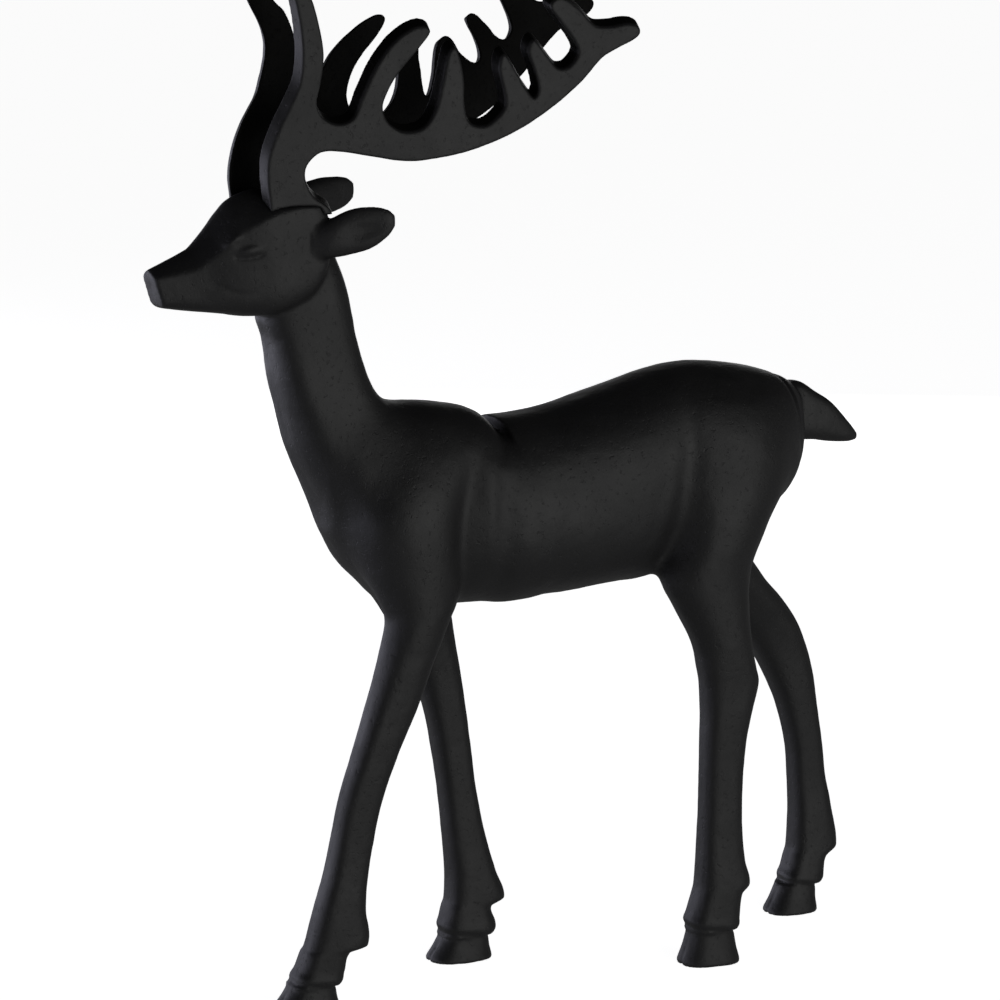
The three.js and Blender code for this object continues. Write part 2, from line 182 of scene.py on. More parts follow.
RIGHT_FORE = [
    [13.5, -26, -6, 10.4, 12.3, 3.2],
    [19, -26, -5.2, 10.3, 12.8, 3.2],
    [27, -26.2, -5.2, 10, 11, 3.2],
    [30.4, -26.3, -1.3, 10, 13.8, 3.2],
    [44, -26.5, -3.2, 9.5, 11.3, 3.2],
    [62, -26.8, -6.5, 8.6, 9.5, 3.2],
    [81, -27, -9.5, 8.3, 8.5, 3.2],
    [100, -27, -12.2, 8.4, 8.6, 3.2],
    [118, -27, -15.2, 8.8, 9.1, 3.1],
    [138, -27.5, -19.6, 10.3, 10.6, 2.9],
    [153, -27.5, -23.8, 12, 12.4, 2.4],
    [170, -27, -30.5, 14, 16, 2.3],
    [185, -26, -38, 16, 19.5, 2.1],
    [200, -24.5, -45, 18, 21.2, 2.1],
    [220, -22, -50, 21, 22.6, 2.1],
    [235, -19, -49, 20, 20, 2.1],
    [248, -14, -46, 16, 16, 2.1],
    [257, -10, -42, 8, 9, 2.1],
]

LEFT_HIND = [
    [17.8, 29, 94.6, 10.1, 11.6, 3.2],
    [23, 29, 94.9, 10.1, 12.1, 3.2],
    [34.6, 29, 97.4, 9.9, 11.1, 3.2],
    [39, 29, 99.9, 9.8, 12.6, 3.2],
    [50, 29, 99, 9.2, 11, 3.2],
    [69, 29, 98.6, 8.5, 9.8, 3.2],
    [88, 29, 99, 8.5, 9.6, 3.2],
    [106, 29, 99.9, 8.8, 10.2, 3.2],
    [120, 29, 101.3, 9.4, 11.5, 3.1],
    [134, 29, 102.7, 10.2, 13.6, 2.9],
    [141, 29, 101.4, 10.8, 13.4, 2.9],
    [153, 29, 98.8, 12, 13.9, 2.4],
    [172, 28, 93.4, 14.3, 18.2, 2.3],
    [188, 26, 90.6, 17.2, 23.6, 2.1],
    [205, 24, 96.3, 20.5, 25.4, 2.1],
    [225, 22.5, 102.6, 22, 28, 2.1],
    [245, 21, 104.5, 21, 28, 2.1],
    [262, 17, 105, 16, 24, 2.1],
    [271, 12, 103, 8, 13, 2.1],
]

RIGHT_HIND = [
    [15.5, -37.6, 176.4, 9.6, 9.8, 3.2],
    [20, -38, 178.3, 9.6, 9.9, 3.2],
    [28.5, -38.7, 180.6, 9.5, 9.4, 3.2],
    [33.5, -39, 184.3, 9.5, 11.6, 3.2],
    [55, -39.5, 183.2, 8.8, 9.6, 3.2],
    [69, -40, 181.6, 8.2, 8.5, 3.2],
    [85, -40, 179.9, 8.2, 8.3, 3.2],
    [104, -40, 175.9, 8.8, 9.3, 3.1],
    [115.5, -40, 172.5, 9.4, 10.9, 3.1],
    [129.4, -40, 167, 10.5, 13.1, 2.9],
    [142, -39, 159.4, 11.5, 15.4, 2.9],
    [155, -37, 148, 13, 18.3, 2.4],
    [170, -33.5, 131, 15.5, 20.8, 2.3],
    [188, -29, 115.5, 18, 24, 2.1],
    [205, -25, 110, 20.5, 28, 2.1],
    [225, -22.5, 108, 22, 30.5, 2.1],
    [245, -21, 107, 21, 30, 2.1],
    [262, -17, 105, 16, 24, 2.1],
    [271, -12, 103, 8, 13, 2.1],
]

# Hooves flare from a narrow coronet to a flat sole. Both are [x, y, half x, half y].
HOOVES = [
    {"top": 14.2, "coronet": [25, -104.8, 9.4, 10.2], "sole": [24.7, -107.6, 11.9, 15.4]},
    {"top": 14.4, "coronet": [-26, -6.6, 9.4, 10.9], "sole": [-25.9, -9.4, 11.9, 15.6]},
    {"top": 18.6, "coronet": [29, 94, 9.1, 10.4], "sole": [28.9, 93.2, 11.8, 14.6]},
    {"top": 16.2, "coronet": [-37.5, 175.2, 8.7, 9.1], "sole": [-36.7, 171.8, 11, 13]},
]
HOOF_SQUARENESS = 2.7

EYE = (17.6, -128.6, 344.3)
EYE_TILT = (0.97, 0.24)     # cosine and sine of the slant of the lids

# The shallow leaf-shaped hollow in each ear: side, centre, half length and half width.
EAR_HOLLOWS = [
    [1, (29, -81, 351), 9.5, 3.4],
    [-1, (-26, -75, 361), 10, 4.0],
]
EAR_TILT = 14               # degrees
EAR_HOLLOW_DEPTH = 1.2

# Antler outlines, each in its own plane: back from the foot, and up from the crown. They run up the
# front of the beam and back through the bays and tines; the two were cast from different patterns.
LEFT_OUTLINE = [
    [-2, -9], [-3.5, 1], [-5, 14], [-4.5, 24], [-0.5, 35], [5, 46], [9.5, 56], [10.8, 67],
    [9.8, 80], [7, 93], [3, 104], [-1, 112],
    # back of the beam
    [2, 112.5], [9, 103], [15, 92], [18.5, 80], [20.5, 67], [19, 55], [17.5, 47],
    [20.5, 40.5], [28, 37.5], [34.5, 40],  # first bay
    [38.8, 49.5], [44.8, 61.5], [51.8, 71], [59, 76.8], [66, 79.3], [70, 77],  # long tine
    [63, 68], [55, 59], [50, 51], [48, 44], [51, 37.2],  # its rear edge
    # second bay and second tine
    [58.5, 33], [67.5, 34.5], [73, 42], [76, 53], [79.2, 67.5], [82.3, 69], [85.7, 57], [86.5, 44],
    [89, 36.2], [96.3, 34.3], [102.5, 38], [106.3, 43.5], [105.3, 50.5], [103, 60], [105, 66],
    [110, 59.5],
    # narrow bay and fourth tine
    [114.8, 51.5], [119.6, 46], [121.9, 50], [120, 58], [116.8, 67], [119.3, 71.8],
    [126, 64], [131, 58.8], [136.5, 59.5], [140.8, 65.5], [138.2, 72], [131.8, 80], [127, 87],
    [131.8, 90.3],
    # last fork and end tip
    [140.3, 85.3], [148.3, 77.6], [156.5, 76.8], [164.5, 77.8], [169.5, 76.4], [170, 73.6], [167, 71],
    # underside of the palm
    [160, 67.8], [152, 63.5], [142, 53], [128.5, 42.3], [113, 33], [97, 26.5], [79, 22], [60, 20.6],
    # throat and heel
    [43, 23.2], [29, 25.8], [19.5, 25.8], [13, 20.5], [12.2, 14], [16, 6.5], [24, 0], [24, -9],
]

RIGHT_OUTLINE = [
    [-7, -9], [-7.6, 0], [-8.3, 6], [-9, 11.2], [-8.9, 17.5], [-7.6, 24], [-5.7, 30.3], [-2.4, 37.8],
    [1, 43.5], [4.7, 49.7], [6.5, 55.5], [8.4, 63.1], [9.1, 69.5], [8.4, 74.7], [6.2, 80.5], [2.8, 86.4],
    [0.5, 91], [-3, 99], [-7, 108.6],
    # back of the beam
    [-3.5, 109], [4, 101], [12.5, 90.6], [18.2, 85], [22, 77], [24.5, 67], [24, 57], [22.8, 49],
    [25.3, 43.4], [30.5, 41.6],  # first bay
    # long tine
    [35.3, 45.2], [36.5, 55], [39.2, 60.1], [43.1, 66.1], [48.5, 71.6], [55.1, 76.5], [61.2, 80], [66, 81.8],
    [69, 81.6], [70, 79.8],
    [67.9, 76], [63.6, 71], [58.8, 66], [54.6, 60.4], [51.6, 54.3], [50.1, 48.7], [50.6, 43.6],
    # second bay and second tine
    [54, 38.6], [60, 36], [66.5, 36.4], [70.9, 38.8], [74.8, 42.9], [76.9, 47.5], [77.8, 52.2],
    [78, 58], [79, 65], [81.5, 70.6], [85, 71.2], [87.5, 67.4], [87.7, 61.7], [88.9, 55.8],
    # third bay and tine
    [89.8, 50.1], [91.4, 45.2], [93.9, 44.8], [96.3, 51.9], [97.2, 57.6], [97.8, 64], [99.4, 69],
    [102.6, 71], [106.1, 68.6], [109.6, 63.5],
    # narrow bay and fourth tine
    [114.4, 59.8], [118.3, 58.4], [121, 59.6], [121, 63.4], [119, 68.4], [115.8, 73.8], [114, 78],
    [115.6, 80.6], [118.4, 80], [121.5, 77.5],
    # last bay
    [125.3, 74.1], [128.4, 70.7], [132.6, 68.3], [136.4, 69.4], [138.2, 72.6], [137.5, 76.5],
    [134.7, 82.4], [132, 87.5], [130.4, 93], [130.8, 98], [134, 99.6], [138.6, 95.8],
    # last fork and end tip
    [144, 89.8], [149, 85.9], [155, 84.4], [162.6, 85.4], [173, 86], [180, 85.4], [182.4, 83.2],
    # underside of the palm
    [180.4, 79.9], [175.5, 77.1], [168, 74.2], [161.9, 70.6], [153.2, 62.4], [144.1, 53.1], [136, 45.6],
    [128, 39], [119.4, 33.9], [108, 29.2], [95, 25.6], [82, 23], [68, 21.4], [56, 21.2], [44, 23.2],
    [32, 25.8], [22, 25.6], [15.5, 20.5], [14, 14], [17, 6.5], [22, 0], [22, -9],
]

# Where each antler foot stands, and how far it is turned out and leaned out, in degrees.
# The slope is how much wider a plate's inner face is than its outer face, all round, and the rise
# how much higher it stands; the outline is grown a little to make up for the rounded edges.
ANTLERS = {
    "left": {"outline": LEFT_OUTLINE, "side": 1, "foot": (15.5, -115, 360), "turn": 3, "lean": 2,
             "slope": 1.6, "rise": 2.2, "grow": 0.0},
    "right": {"outline": RIGHT_OUTLINE, "side": -1, "foot": (-13.8, -118.2, 360), "turn": 8, "lean": -1,
              "slope": 3.4, "rise": 0.0, "grow": 0.8},
}

# The top of the head is a soft roof between two crisp edges: [y, edge height, ridge height].
ROOF = [
    [-170, 332.6, 335.2],
    [-161, 333.8, 339.2],
    [-153.6, 335.3, 342.6],
    [-149.4, 337, 345],
    [-141, 343.8, 354],
    [-136, 349, 360],
    [-131.7, 351.8, 364.5],
    [-125.5, 355.2, 367.6],
    [-119, 358.4, 369],
    [-111.8, 360.8, 368],
    [-103.2, 362, 366.3],
    [-90, 362, 363],
]

# Creases and ridges seen from the side: name, side (1 left, -1 right, 0 both),
# then [y, z, depth, half width]; a depth below zero raises a ridge.
CARVING = [
    ("lower eyelid", 0, [[-135.5, 341, 0, 0.9], [-134, 341, 0.8, 0.9], [-129, 340.8, 0.7, 0.9],
                         [-124, 342, 0.7, 0.9], [-121.7, 345, 0, 0.9]]),
    ("upper eyelid", 0, [[-134.5, 343, 0, 0.9], [-131, 346, 0.3, 0.9], [-127, 347, 0.3, 0.9],
                         [-123, 346, 0, 0.9]]),
    ("brow", 0, [[-139, 344.5, 0, 1.8], [-137.5, 347, -1.0, 1.8], [-134.5, 350, -1.0, 1.8],
                 [-131, 351, 0, 1.8]]),
    ("mouth", 0, [[-147, 329, 0, 1.1], [-141.2, 328.6, 0.5, 1.1], [-136.2, 326.3, 0.5, 1.2],
                  [-130, 325.2, 0.3, 1.2], [-124, 325.2, 0, 1.2]]),
    ("behind the left shoulder", 1, [[-24, 257, 0, 5], [-27, 247, 0.8, 5], [-30.5, 238, 1.6, 5],
                                     [-34.5, 222, 2.4, 5.8], [-35, 206, 2.4, 5.8],
                                     [-32.5, 192, 1.8, 5.8], [-30, 182, 0.4, 5]]),
    ("first rib", 1, [[-20, 250, 0, 4], [-20.5, 240, -0.7, 4], [-21.5, 222, -1.1, 4.2],
                      [-20.5, 204, -0.9, 4.2], [-18, 190, 0, 4.2]]),
    ("notch, running down", 1, [[-9, 261, 0, 1.6], [-10, 254, 0.4, 1.8], [-12.5, 248, 0.6, 2.2],
                                [-15.5, 243, 0, 2.2]]),
    ("in front of the left haunch", 1, [[79, 274, 0, 6], [79, 262, 0.5, 6], [78.5, 245, 1.5, 6],
                                        [76.5, 231, 2.4, 6.8], [75, 216, 3.4, 8],
                                        [73, 205, 4.6, 8.6], [71.5, 195, 4.6, 8.6],
                                        [71, 186, 2.2, 7], [69, 178, 0, 6]]),
    ("flank fold", 1, [[67, 246, 0, 4], [65, 234, 0.5, 4.4], [62, 220, 0.6, 4.4], [59, 206, 0.5, 4.4],
                       [58, 196, 0.2, 4.2], [57, 188, 0, 4]]),
    ("left tail root", 0, [[138.5, 272, 0.8, 1.2], [139.5, 264, 0.9, 1.2], [140.5, 256, 0.9, 1.2],
                           [142, 246, 0.8, 1.2], [142.5, 240, 0.3, 1.2]]),
]
# The right side of the trunk is carved like the left, set to suit its own legs.
RIGHT_SHIFTS = {
    "behind the left shoulder": ("behind the right shoulder", 6),
    "first rib": ("first right rib", 6),
    "notch, running down": ("notch, right side", 0),
    "in front of the left haunch": ("in front of the right haunch", 3),
    "flank fold": ("right flank fold", 3),
}
CARVING += [
    (RIGHT_SHIFTS[name][0], -1, [[y + RIGHT_SHIFTS[name][1], z, depth, width] for y, z, depth, width in path])
    for name, side, path in CARVING if name in RIGHT_SHIFTS
]


def between(rows, t):
    """Section values at every t, on smooth cubics through the neighbouring sections."""
    rows = np.array(rows, float)
    t = np.clip(np.asarray(t, float), rows[0, 0], rows[-1, 0])
    i = np.clip(np.searchsorted(rows[:, 0], t, side="left") - 1, 0, len(rows) - 2)
    a = rows[i]
    b = rows[i + 1]
    before = rows[np.maximum(i - 1, 0)]
    after = rows[np.minimum(i + 2, len(rows) - 1)]
    span = b[:, :1] - a[:, :1]
    s = (t[:, None] - a[:, :1]) / span
    slope_a = (b - before) / (b[:, :1] - before[:, :1]) * span
    slope_b = (after - a) / (after[:, :1] - a[:, :1]) * span
    return ((2 * s**3 - 3 * s**2 + 1) * a + (s**3 - 2 * s**2 + s) * slope_a
            + (3 * s**2 - 2 * s**3) * b + (s**3 - s**2) * slope_b)


def curve_points(points, step, closed=False):
    """Even points on a smooth curve through the given ones; every column is carried along."""
    points = np.array(points, float)
    count = len(points)
    if closed:
        points = np.vstack([points[-3:], points, points[:3]])
    gaps = np.linalg.norm(np.diff(points[:, :2], axis=0), axis=1)
    along = np.concatenate([[0], np.cumsum(np.sqrt(gaps))])
    start, end = (along[3], along[3 + count]) if closed else (along[0], along[-1])
    length = gaps[3:3 + count].sum() if closed else gaps.sum()
    t = np.linspace(start, end, max(int(length / step), 4), endpoint=not closed)
    return between(np.column_stack([along, points]), t)[:, 1:]


def smooth_min(a, b, radius):
    h = np.clip(radius - np.abs(a - b), 0, None)
    return np.minimum(a, b) - h * h / (4 * radius)


def smooth_max(a, b, radius):
    return -smooth_min(-a, -b, radius)


def soft_step(value, low, high):
    s = np.clip((value - low) / (high - low), 0, 1)
    return s * s * (3 - 2 * s)


CORNERS = [(i, j, k) for i in (0, 1) for j in (0, 1) for k in (0, 1)]


def from_corners(base, f, read):
    """A value inside each cell, weighed from its eight corners by how near they are."""
    total = 0
    for k, j, i in CORNERS:
        pick = (i, j, k)
        weight = np.prod([f[:, m] if pick[m] else 1 - f[:, m] for m in range(3)], axis=0)
        total = total + weight * read(tuple(base[:, m] + pick[m] for m in range(3)))
    return total


class Clay:
    """A block of clay: the signed distance to its skin on an even grid, negative inside."""

    def __init__(self, low, high, pitch):
        self.low = np.array(low, float)
        self.pitch = pitch
        self.axes = [np.arange(a, b + pitch, pitch) for a, b in zip(low, high)]
        self.field = np.full([len(axis) for axis in self.axes], FAR, np.float32)

    def places(self, cuts):
        """The x, y and z of a part of the grid, ready to be combined."""
        x, y, z = (axis[cut].astype(np.float32) for axis, cut in zip(self.axes, cuts))
        return x[:, None, None], y[None, :, None], z[None, None, :]

    def window(self, low, high):
        """The part of the grid between two corners, and its x, y and z."""
        cuts = []
        for axis, a, b in zip(self.axes, low, high):
            cuts.append(slice(np.searchsorted(axis, a), max(np.searchsorted(axis, b), 1)))
        return tuple(cuts), *self.places(cuts)

    def join(self, cuts, part, radius):
        self.field[cuts] = smooth_min(self.field[cuts], part, radius)

    def sample(self, points):
        """Signed distance at any points, read between the grid's own."""
        at = (points - self.low) / self.pitch
        last = np.array(self.field.shape) - 2
        base = np.clip(np.floor(at).astype(int), 0, last)
        return from_corners(base, np.clip(at - base, 0, 1), lambda corner: self.field[corner])

    def slope(self, points, step):
        """How much the distance grows from one step before each point to one step after it."""
        return np.stack([self.sample(points + offset) - self.sample(points - offset)
                         for offset in np.eye(3) * step], 1)


def oval_run(clay, axis, rows, cap=0.8, reach=14, top_stretch=1.0):
    """Signed distance to a run of oval sections, in the window of the grid around it.

    `cap` rounds the ends of the run, `reach` is the room around it for blending, and
    `top_stretch` makes the upper half of each section taller.
    """
    table = np.array(rows, float)
    low1, high1 = (table[:, 1] - table[:, 3]).min(), (table[:, 1] + table[:, 3]).max()
    low2, high2 = (table[:, 2] - table[:, 4]).min(), (table[:, 2] + table[:, 4] * top_stretch).max()
    start, end = table[0, 0], table[-1, 0]
    if axis == "y":
        corners = (low1, start, low2), (high1, end, high2)
    else:
        corners = (low1, low2, start), (high1, high2, end)
    cuts, x, y, z = clay.window(np.array(corners[0]) - reach, np.array(corners[1]) + reach)
    t, p, q = (y, x, z) if axis == "y" else (z, x, y)
    section = between(rows, t.ravel()).astype(np.float32).T
    c1, c2, h1, h2, n = (section[k].reshape(t.shape) for k in range(1, 6))
    if top_stretch != 1.0:
        h2 = np.where(q > c2, h2 * np.float32(top_stretch), h2)
    u = np.abs(p - c1) / h1
    v = np.abs(q - c2) / h2
    um = u ** (n - 1)
    vm = v ** (n - 1)
    size = np.maximum((um * u + vm * v) ** (1 / n), 1e-3)
    slope = np.sqrt((um / h1) ** 2 + (vm / h2) ** 2) / size ** (n - 1)
    distance = (size - 1) / np.maximum(slope, 0.3 / np.maximum(h1, h2))
    # Where the run widens or bends quickly, the skin is nearer than its section says.
    lean = np.gradient(distance, clay.pitch, axis=1 if axis == "y" else 2)
    distance = distance / np.sqrt(1 + np.clip(lean, -3, 3) ** 2)
    ends = np.maximum(start - t, t - end)
    return cuts, smooth_max(distance, ends, cap)


def press(clay, side, path, step=0.6):
    """Presses one crease, or raises one ridge, along a path drawn in the side view."""
    line = curve_points(path, step)
    reach = 3 * line[:, 3].max()
    low = line[:, :2].min(0) - reach
    high = line[:, :2].max(0) + reach
    cuts, x, y, z = clay.window((-FAR, low[0], low[1]), (FAR, high[0], high[1]))
    nearest = np.full(np.broadcast_shapes(y.shape, z.shape), 1e9, np.float32)
    depth = np.zeros_like(nearest)
    width = np.ones_like(nearest)
    for py, pz, d, w in line:
        gap = (y - py) ** 2 + (z - pz) ** 2
        closer = gap < nearest
        nearest = np.where(closer, gap, nearest)
        depth = np.where(closer, d, depth)
        width = np.where(closer, w, width)
    amount = depth * np.exp(-nearest / width**2)
    if side:
        amount = amount * soft_step(x * side, 1, 5)
    clay.field[cuts] += amount.astype(np.float32)


def soften(clay, low, high, size, keep):
    """Rubs the clay smooth inside a block, over about `size` millimetres, except near `keep`."""
    cuts, x, y, z = clay.window(low, high)
    block = clay.field[cuts]
    rubbed = block.copy()
    passes = int(round(2 * (size / clay.pitch / 2) ** 2))
    for _ in range(passes):
        for axis in range(3):
            last = rubbed.shape[axis] - 1
            ahead = np.take(rubbed, np.r_[1:last + 1, last], axis=axis)
            behind = np.take(rubbed, np.r_[0, 0:last], axis=axis)
            rubbed = 0.5 * rubbed + 0.25 * (ahead + behind)
    fade = 14
    amount = 1.0
    for value, a, b in ((y, low[1], high[1]), (z, low[2], high[2])):
        amount = amount * soft_step(value, a, a + fade) * (1 - soft_step(value, b - fade, b))
    keep_y, keep_z, radius = keep
    from_keep = np.sqrt((y - keep_y) ** 2 + (z - keep_z) ** 2)
    amount = amount * soft_step(from_keep, 0.5 * radius, radius)
    clay.field[cuts] = block + (rubbed - block) * amount.astype(np.float32)


def head_clay(clay):
    """The head: squared sections under a soft roof, with crisp edges beside it."""
    cuts, head = oval_run(clay, "y", HEAD, cap=0.7, top_stretch=1.5)
    x, y, z = clay.places(cuts)
    roof = between(ROOF, y.ravel()).astype(np.float32).T
    edge, ridge = (roof[k].reshape(y.shape) for k in (1, 2))
    half = between(HEAD, y.ravel()).astype(np.float32)[:, 3].reshape(y.shape)
    out = np.clip(np.abs(x) / half, 0, 1.3)
    height = ridge - (ridge - edge) * out**1.7
    steep = 1.7 * (ridge - edge) * out**0.7 / half
    top = (z - height) / np.sqrt(1 + steep**2)
    # The flat end of the muzzle slopes back a little towards the lip.
    lip_slope, nose_top = 0.3, 334
    muzzle = (HEAD[0][0] + lip_slope * (nose_top - z) - y) / math.hypot(1, lip_slope)
    return cuts, smooth_max(smooth_max(head, top, 1.2), muzzle, 0.8)


def turned(y, z, centre, cosine, sine):
    """Distances along and across a feature that lies tilted in the side view."""
    along = (y - centre[1]) * cosine + (z - centre[2]) * sine
    across = (z - centre[2]) * cosine - (y - centre[1]) * sine
    return along, across


def eye(clay, side):
    """A low almond eyeball between its lids."""
    height, half_long, half_wide = 0.9, 4.6, 2.1
    centre = np.array([side * EYE[0], EYE[1], EYE[2]])
    cuts, x, y, z = clay.window(centre - 10, centre + 10)
    along, across = turned(y, z, centre, *EYE_TILT)
    swell = np.exp(-((along / half_long) ** 2 + (across / half_wide) ** 2) ** 1.5)
    clay.field[cuts] -= (height * swell * soft_step(x * side, 6, 9)).astype(np.float32)


def ear_hollow(clay, side, centre, half_long, half_wide):
    """A shallow leaf-shaped hollow in the outer face of an ear."""
    centre = np.array(centre, float)
    cuts, x, y, z = clay.window(centre - 16, centre + 16)
    tilt = math.radians(EAR_TILT)
    along, across = turned(y, z, centre, math.cos(tilt), math.sin(tilt))
    dip = np.exp(-((along / half_long) ** 2 + (across / half_wide) ** 2) ** 1.6)
    outer = soft_step((x - centre[0]) * side, -2.5, 0.5)
    clay.field[cuts] += (EAR_HOLLOW_DEPTH * dip * outer).astype(np.float32)


def hoof_rows(hoof):
    """Oval sections of a hoof from its sole up, with a wall that is a little hollow."""
    coronet, sole = np.array(hoof["coronet"]), np.array(hoof["sole"])
    rows = []
    for rise, swell in ((0, -0.5), (0.1, 0), (0.5, -0.3), (1, 0)):
        x, y, half_x, half_y = sole + (coronet - sole) * rise
        height = SOLE + (hoof["top"] - SOLE) * rise
        rows.append([height, x, y, half_x + swell, half_y + swell, HOOF_SQUARENESS])
    return rows


def hoof_cleft(clay, hoof, depth=0.3, half_width=0.9):
    """The upright split at the front of a hoof."""
    top, tall = hoof["top"], hoof["top"] - SOLE
    x0, y0, _, half_y = hoof["sole"]
    cuts, x, y, z = clay.window((x0 - 9, y0 - half_y - 6, SOLE - 3), (x0 + 9, y0 - 2, top + 2))
    middle = x0 + (hoof["coronet"][0] - x0) * ((z - SOLE) / tall)
    fade = 1 - soft_step(z, SOLE + 0.45 * tall, SOLE + 0.9 * tall)
    groove = depth * np.exp(-((x - middle) / half_width) ** 2) * fade * (y < y0 - 3)
    clay.field[cuts] += groove.astype(np.float32)


def coronet(clay, hoof, depth=0.55, bulge=0.5, spread=3.0):
    """The groove around the top of a hoof, arched over its front, and the swelling above it."""
    top = hoof["top"]
    x0, y0, _, half_y = hoof["coronet"]
    cuts, x, y, z = clay.window((x0 - 20, y0 - 22, top - 6), (x0 + 20, y0 + 22, top + 8))
    arch = top + 0.4 - 1.2 * np.clip((y - y0) / half_y, -1, 1)
    groove = depth * np.exp(-((z - arch) / 0.9) ** 2)
    swelling = bulge * np.exp(-((z - arch - spread) / 1.8) ** 2)
    clay.field[cuts] += (groove - swelling).astype(np.float32)


def body_clay():
    """The whole body in one skin, in the layout's millimetres."""
    clay = Clay(*BODY_BLOCK, SKIN_PITCH)
    clay.join(*oval_run(clay, "y", WITHERS), BLEND["withers"])
    cuts, back = oval_run(clay, "y", BACK, cap=1.0)
    down_the_side = 1 - soft_step(clay.places(cuts)[2], SIDE_TOP, SPINE_LOW)
    clay.join(cuts, back, SPINE_BLEND + (SIDE_BLEND - SPINE_BLEND) * down_the_side)
    clay.join(*oval_run(clay, "z", NECK, reach=20), BLEND["neck"])
    for rows in (LEFT_FORE, RIGHT_FORE):
        clay.join(*oval_run(clay, "z", rows, reach=20), BLEND["fore leg"])
    for rows in (LEFT_HIND, RIGHT_HIND):
        clay.join(*oval_run(clay, "z", rows), BLEND["hind leg"])
    for low, high, size, keep in RUBBED:
        soften(clay, low, high, size, keep)
    clay.join(*oval_run(clay, "y", TAIL), BLEND["tail"])
    clay.join(*head_clay(clay), BLEND["head"])
    for rows in (LEFT_EAR, RIGHT_EAR):
        clay.join(*oval_run(clay, "y", rows, cap=0.5), BLEND["ear"])
    for hoof in HOOVES:
        clay.join(*oval_run(clay, "z", hoof_rows(hoof), cap=0.4), BLEND["hoof"])
        coronet(clay, hoof)
        hoof_cleft(clay, hoof)
    for name, side, path in CARVING:
        press(clay, side, path)
    for side in (1, -1):
        eye(clay, side)
    for hollow in EAR_HOLLOWS:
        ear_hollow(clay, *hollow)
    below_soles = SOLE - clay.axes[2][None, None, :].astype(np.float32)
    clay.field = np.maximum(clay.field, below_soles)
    return clay


def net_points(clay, cells):
    """One point in each cell, amid the places where the skin crosses the cell's edges."""
    value = {corner: clay.field[tuple((cells + corner).T)] for corner in CORNERS}
    total = np.zeros((len(cells), 3))
    hits = np.zeros(len(cells))
    for start in CORNERS:
        for axis in range(3):
            if start[axis]:
                continue
            end = tuple(1 if m == axis else start[m] for m in range(3))
            cross = (value[start] < 0) != (value[end] < 0)
            part = np.where(cross, value[start] / np.where(cross, value[start] - value[end], 1), 0)
            for m in range(3):
                total[:, m] += cross * (part if m == axis else start[m])
            hits += cross
    return clay.low + (cells + total / hits[:, None]) * clay.pitch


def net_faces(inside, number, axis):
    """A face across every step of the grid along one axis that passes through the skin."""
    b, c = (axis + 1) % 3, (axis + 2) % 3
    near, far = [slice(None)] * 3, [slice(None)] * 3
    near[axis] = slice(0, -1)
    far[axis] = slice(1, None)
    first, second = inside[tuple(near)], inside[tuple(far)]
    step = np.argwhere(first != second)
    step = step[(step[:, b] > 0) & (step[:, c] > 0)
                & (step[:, b] < number.shape[b]) & (step[:, c] < number.shape[c])]
    quad = []
    for db, dc in ((-1, -1), (0, -1), (0, 0), (-1, 0)):
        cell = step.copy()
        cell[:, b] += db
        cell[:, c] += dc
        quad.append(number[tuple(cell.T)])
    quad = np.stack(quad, 1)
    outward = first[tuple(step.T)]
    return np.where(outward[:, None], quad, quad[:, ::-1])


def net(clay):
    """The skin of the clay as points and four-sided faces."""
    inside = clay.field < 0
    shape = tuple(n - 1 for n in inside.shape)
    count = np.zeros(shape, np.int8)
    for i, j, k in CORNERS:
        count += inside[i:i + shape[0], j:j + shape[1], k:k + shape[2]]
    cells = np.argwhere((count > 0) & (count < 8))
    number = np.full(shape, -1, np.int32)
    number[tuple(cells.T)] = np.arange(len(cells))
    faces = np.vstack([net_faces(inside, number, axis) for axis in range(3)])
    return net_points(clay, cells), faces


def settle(clay, points, rounds=2):
    """Slides the points onto the skin itself, which takes the grid's steps out of them."""
    step = clay.pitch * 0.5
    for _ in range(rounds):
        here = clay.sample(points)
        slope = clay.slope(points, step) / (2 * step)
        size = np.maximum((slope**2).sum(1), 0.25)
        move = -slope * (here / size)[:, None]
        points = points + np.clip(move, -0.4 * clay.pitch, 0.4 * clay.pitch)
    return points


def lumps(points, cell, seed):
    """Smooth random height between -1 and 1, with bumps about one cell wide."""
    count = 32
    lattice = np.random.default_rng(seed).uniform(-1, 1, (count, count, count))
    at = points / cell + 500
    base = np.floor(at).astype(int)
    f = at - base
    f = f * f * (3 - 2 * f)
    return from_corners(base, f, lambda corner: lattice[tuple(k % count for k in corner)])


def cast_skin(clay, points, seed):
    """Moves the skin in and out a little, as a sand mould leaves it."""
    slope = clay.slope(points, clay.pitch)
    normal = slope / np.maximum(np.linalg.norm(slope, axis=1), 1e-6)[:, None]
    height = (0.16 * lumps(points, 15, seed) + 0.08 * lumps(points, 6.5, seed + 1)
              + 0.05 * lumps(points, 3.1, seed + 2))
    return points + normal * height[:, None]


